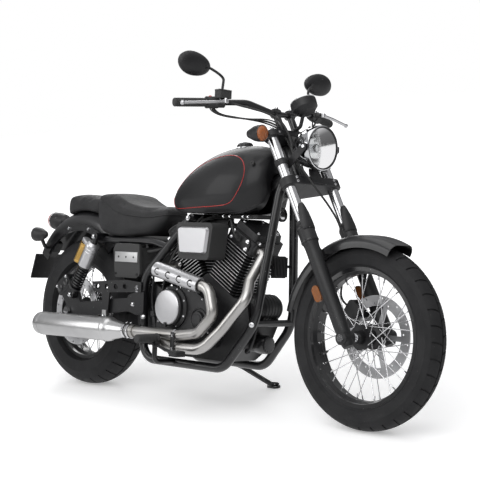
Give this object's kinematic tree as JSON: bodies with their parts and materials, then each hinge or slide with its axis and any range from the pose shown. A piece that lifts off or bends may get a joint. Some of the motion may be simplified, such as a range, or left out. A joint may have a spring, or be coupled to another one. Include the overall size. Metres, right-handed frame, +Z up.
{
  "type": "bobber motorcycle",
  "caption": "Low single-seat cruiser motorcycle with an air-cooled V-twin, wire wheels and a teardrop tank, parked on its side stand.",
  "frame": {"origin": "on the floor, under the middle of the parked motorcycle's box", "axes": "+X forward, +Y to the motorcycle's left, +Z up; the motorcycle leans 11 degrees to its left about X"},
  "size_m": [2.269, 0.9442, 1.4205],
  "materials": {
    "tyre": "rubber with a road tread",
    "black_metal": "gloss black powder coat",
    "satin_black": "satin black",
    "black_paint": "deep gloss black with a clear coat",
    "bright_steel": "polished",
    "chrome": "polished chrome",
    "disc_steel": "turned steel",
    "satin_steel": "satin stainless steel",
    "cast_alloy": "cast alloy, satin",
    "dark_alloy": "dark grey wrinkle paint",
    "gold_alloy": "gold anodised",
    "black_plastic": "matte black",
    "black_rubber": "matte",
    "dark_leather": "dark grey leatherette",
    "amber_plastic": "amber reflector",
    "clear_glass": "clear"
  },
  "bodies": {
    "chassis": {"frame": "black_metal", "swingarm": "black_metal", "rear_axle": "bright_steel", "rear_caliper": "satin_black", "shock_absorbers": "cast_alloy", "shock_reservoirs": "gold_alloy", "drive_belt": "black_rubber", "crankcase": "dark_alloy", "clutch_cover": "dark_alloy", "cylinders": "dark_alloy", "cylinder_heads": "dark_alloy", "air_filter_box": "black_plastic", "air_filter_cover": "cast_alloy", "exhaust_pipes": "satin_steel", "muffler": "satin_steel", "heat_shield": "satin_steel", "fuel_tank": "black_paint", "filler_cap": "black_paint", "rider_seat": "dark_leather", "pillion_seat": "dark_leather", "rear_fender": "black_paint", "tail_light": "satin_black", "rear_turn_signals": "satin_black", "number_plate": "black_plastic", "side_covers": "black_plastic", "battery_box": "black_plastic", "side_hangers": "satin_black", "footpegs_and_pedals": "black_metal"},
    "steering": {"front_axle": "bright_steel", "fork_tubes": "bright_steel", "fork_sliders": "satin_black", "fork_yokes": "satin_black", "handlebar": "satin_black", "handlebar_grips": "black_rubber", "hand_controls": "black_plastic", "hand_levers": "cast_alloy", "mirrors": "satin_black", "headlight": "chrome", "headlight_lens": "clear_glass", "speedometer": "chrome", "front_turn_signals": "satin_black", "fork_reflectors": "amber_plastic", "front_fender": "black_paint", "front_caliper": "satin_black", "brake_hose": "black_rubber"},
    "front_wheel": {"front_tyre": "tyre", "front_rim": "black_metal", "front_hub": "black_metal", "front_spokes": "bright_steel", "front_brake_disc": "disc_steel"},
    "rear_wheel": {"rear_tyre": "tyre", "rear_rim": "black_metal", "rear_hub": "black_metal", "rear_spokes": "bright_steel", "rear_brake_disc": "disc_steel", "drive_pulley": "black_metal"},
    "side_stand": {"side_stand": "black_metal"}
  },
  "joints": [
    {"name": "steering", "type": "hinge", "parent": "chassis", "child": "steering", "pos_m": [0.76259, -0.13435, 0.3044], "axis": [-0.4848, 0.1669, 0.8586], "range_deg": [-36, 36]},
    {"name": "front_wheel", "type": "hinge", "parent": "steering", "child": "front_wheel", "pos_m": [0.8035, -0.13002, 0.32666], "axis": [0, 0.9816, -0.1908], "continuous": true},
    {"name": "rear_wheel", "type": "hinge", "parent": "chassis", "child": "rear_wheel", "pos_m": [-0.7665, -0.13155, 0.31881], "axis": [0, 0.9816, -0.1908], "continuous": true},
    {"name": "side_stand", "type": "hinge", "parent": "chassis", "child": "side_stand", "pos_m": [0.0185, -0.01573, 0.11802], "axis": [-0.0439, 0.6869, 0.7254], "range_deg": [0, 94.9]}
  ]
}
